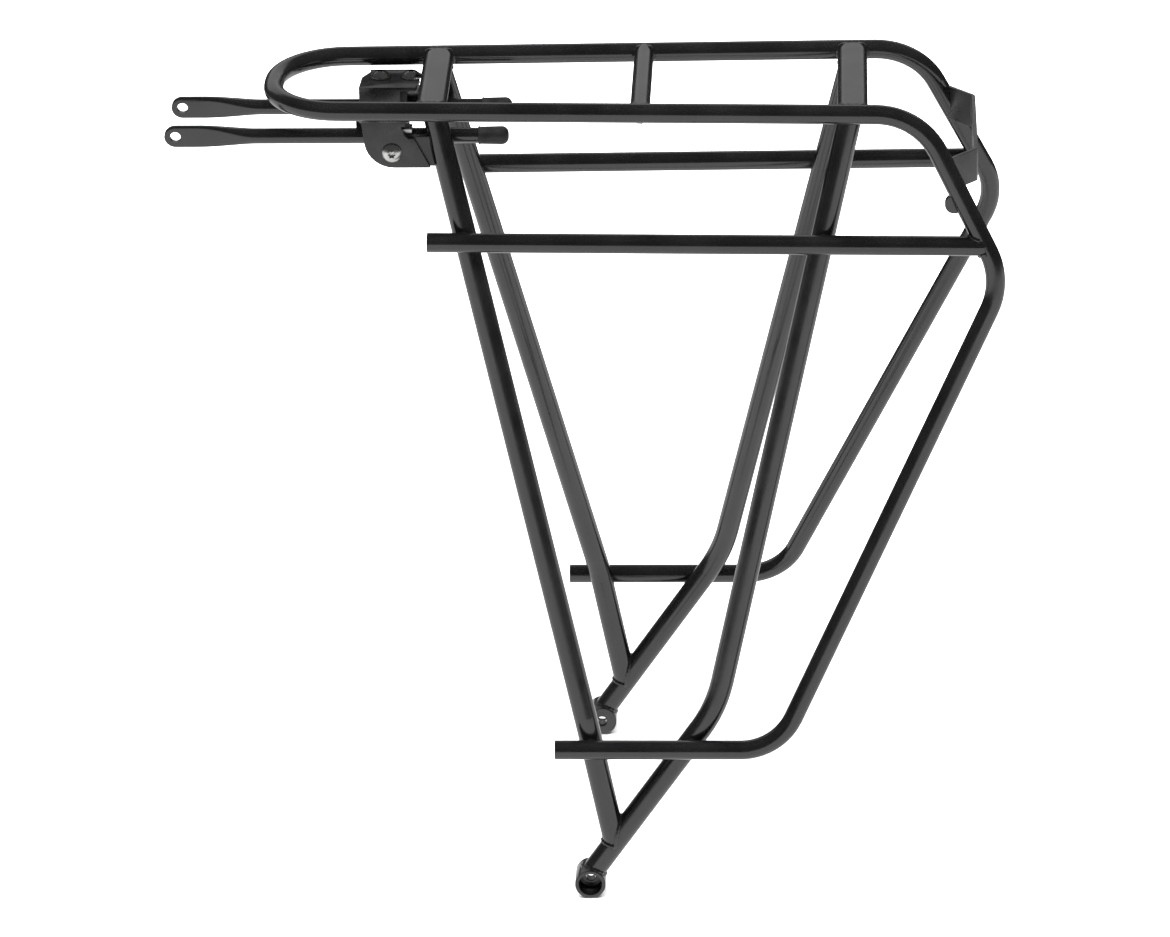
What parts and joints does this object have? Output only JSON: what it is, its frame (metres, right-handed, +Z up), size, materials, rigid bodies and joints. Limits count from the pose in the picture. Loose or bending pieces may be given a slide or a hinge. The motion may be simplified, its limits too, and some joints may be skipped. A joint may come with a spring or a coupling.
{
  "type": "bicycle rear pannier rack",
  "caption": "Welded tubular carrier for a bicycle's rear wheel, with side rails for pannier bags and two adjustable front stays.",
  "frame": {"origin": "midway between the two foot eyes, on their common bolt axis", "axes": "+X points to the rear of the bicycle, +Y to its right side, +Z up"},
  "size_m": [0.4255, 0.2164, 0.4216],
  "materials": {
    "enamelled_tube": "gloss black powder coat over steel tube",
    "enamelled_sheet": "satin black powder coat over steel sheet",
    "stainless": "bright stainless steel",
    "moulded_nylon": "black moulded nylon",
    "moulded_cap": "matt black moulded vinyl"
  },
  "bodies": {
    "carrier": {"deck_and_side_tube": "enamelled_tube", "front_crossbar": "enamelled_tube", "middle_crossbar": "enamelled_tube", "rear_crossbar": "enamelled_tube", "left_front_leg": "enamelled_tube", "right_front_leg": "enamelled_tube", "left_rear_leg": "enamelled_tube", "right_rear_leg": "enamelled_tube", "left_pannier_rail": "enamelled_tube", "right_pannier_rail": "enamelled_tube", "left_foot_eye": "enamelled_tube", "right_foot_eye": "enamelled_tube", "rail_end_plugs": "enamelled_tube", "light_plate": "enamelled_sheet", "cable_boss": "enamelled_tube", "left_lug_plate": "enamelled_sheet", "right_lug_plate": "enamelled_sheet"},
    "left_saddle": {"left_saddle": "enamelled_sheet", "left_tilt_bolt": "stainless", "left_tilt_nut": "stainless", "left_clamp_shoe": "moulded_nylon", "left_clamp_jaw": "stainless", "left_clamp_bolts": "stainless", "left_clamp_washers": "stainless"},
    "left_cap": {"left_stay_cap": "moulded_cap"},
    "left_stay": {"left_stay": "enamelled_tube"},
    "right_saddle": {"right_saddle": "enamelled_sheet", "right_tilt_bolt": "stainless", "right_tilt_nut": "stainless", "right_clamp_shoe": "moulded_nylon", "right_clamp_jaw": "stainless", "right_clamp_bolts": "stainless", "right_clamp_washers": "stainless"},
    "right_cap": {"right_stay_cap": "moulded_cap"},
    "right_stay": {"right_stay": "enamelled_tube"}
  },
  "joints": [
    {"name": "left_saddle_tilt", "type": "hinge", "parent": "carrier", "child": "left_saddle", "pos_m": [-0.0954, -0.0332, 0.3855], "axis": [0, 1, 0], "range_deg": [-12, 4]},
    {"name": "left_stay_slide", "type": "slide", "parent": "left_saddle", "child": "left_cap", "axis": [1, 0, 0], "range_m": [-0.028, 0.058]},
    {"name": "left_stay_twist", "type": "hinge", "parent": "left_cap", "child": "left_stay", "pos_m": [-0.12, -0.01973, 0.388], "axis": [1, 0, 0], "range_deg": [-90, 90]},
    {"name": "right_saddle_tilt", "type": "hinge", "parent": "carrier", "child": "right_saddle", "pos_m": [-0.0954, 0.0332, 0.3855], "axis": [0, 1, 0], "range_deg": [-12, 4]},
    {"name": "right_stay_slide", "type": "slide", "parent": "right_saddle", "child": "right_cap", "axis": [1, 0, 0], "range_m": [-0.028, 0.058]},
    {"name": "right_stay_twist", "type": "hinge", "parent": "right_cap", "child": "right_stay", "pos_m": [-0.12, 0.01973, 0.388], "axis": [1, 0, 0], "range_deg": [-90, 90]}
  ]
}
